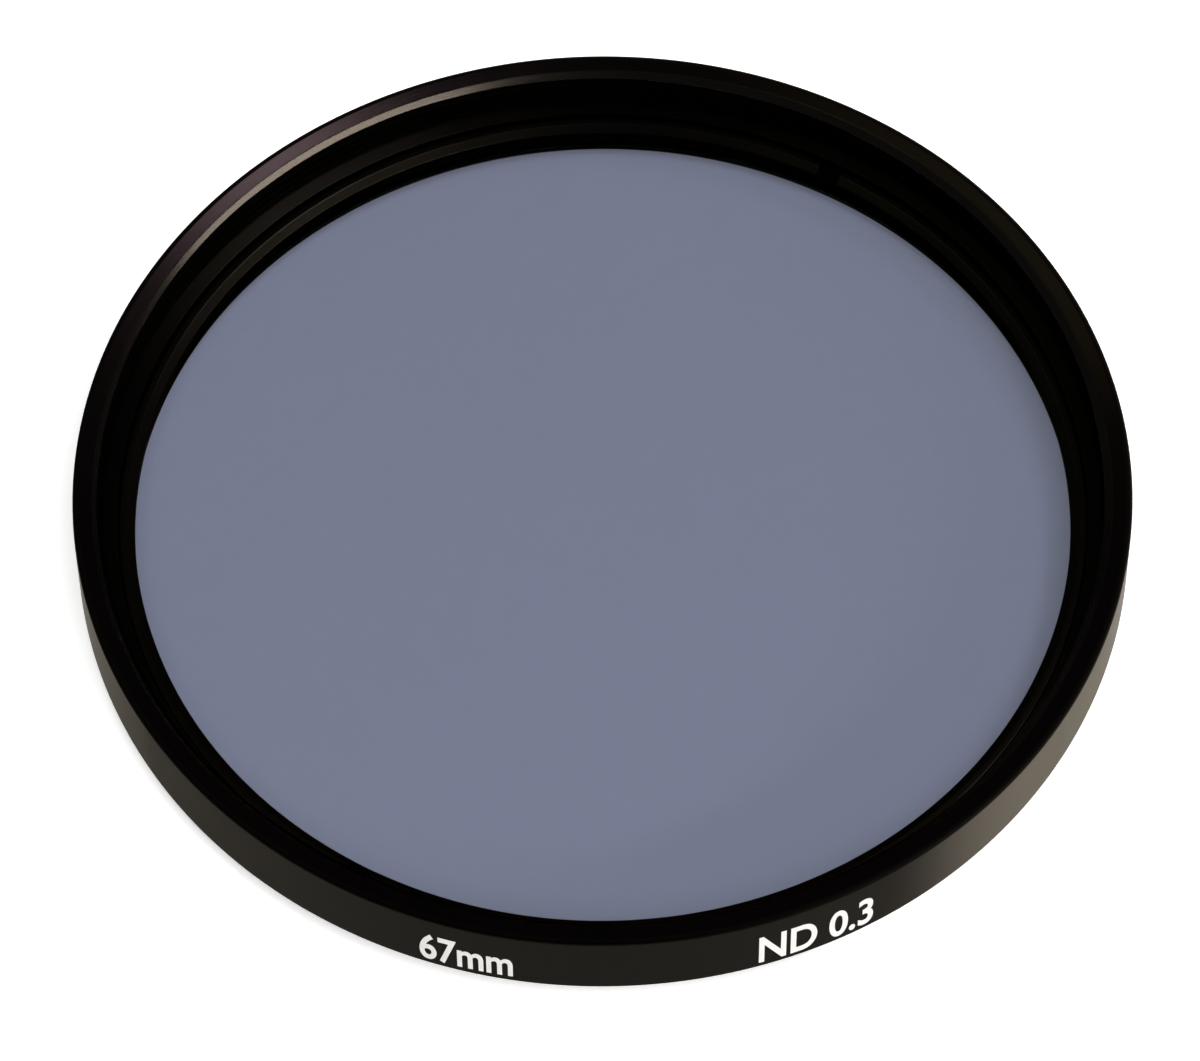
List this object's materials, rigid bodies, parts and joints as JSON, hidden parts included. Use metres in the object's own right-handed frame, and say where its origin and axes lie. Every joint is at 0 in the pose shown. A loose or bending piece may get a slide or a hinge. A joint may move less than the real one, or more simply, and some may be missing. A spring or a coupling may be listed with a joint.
{
  "type": "screw in lens filter",
  "caption": "Round screw-in photographic filter: a slim black threaded ring with grey neutral density glass held by a retaining ring, male thread behind and female thread in front.",
  "frame": {"origin": "on the ring's axis, at the rear end of the male thread, on which the filter stands", "axes": "+Z along the optical axis towards the front face, away from the lens; +X to the right and -Y towards the viewer of the marking"},
  "size_m": [0.07, 0.07, 0.0081],
  "materials": {
    "black_anodised_ring": "satin",
    "neutral_grey_glass": "polished",
    "black_anodised_keeper": "satin"
  },
  "bodies": {
    "root": {"filter_ring": "black_anodised_ring", "filter_glass": "neutral_grey_glass", "retaining_ring": "black_anodised_keeper"}
  },
  "joints": []
}
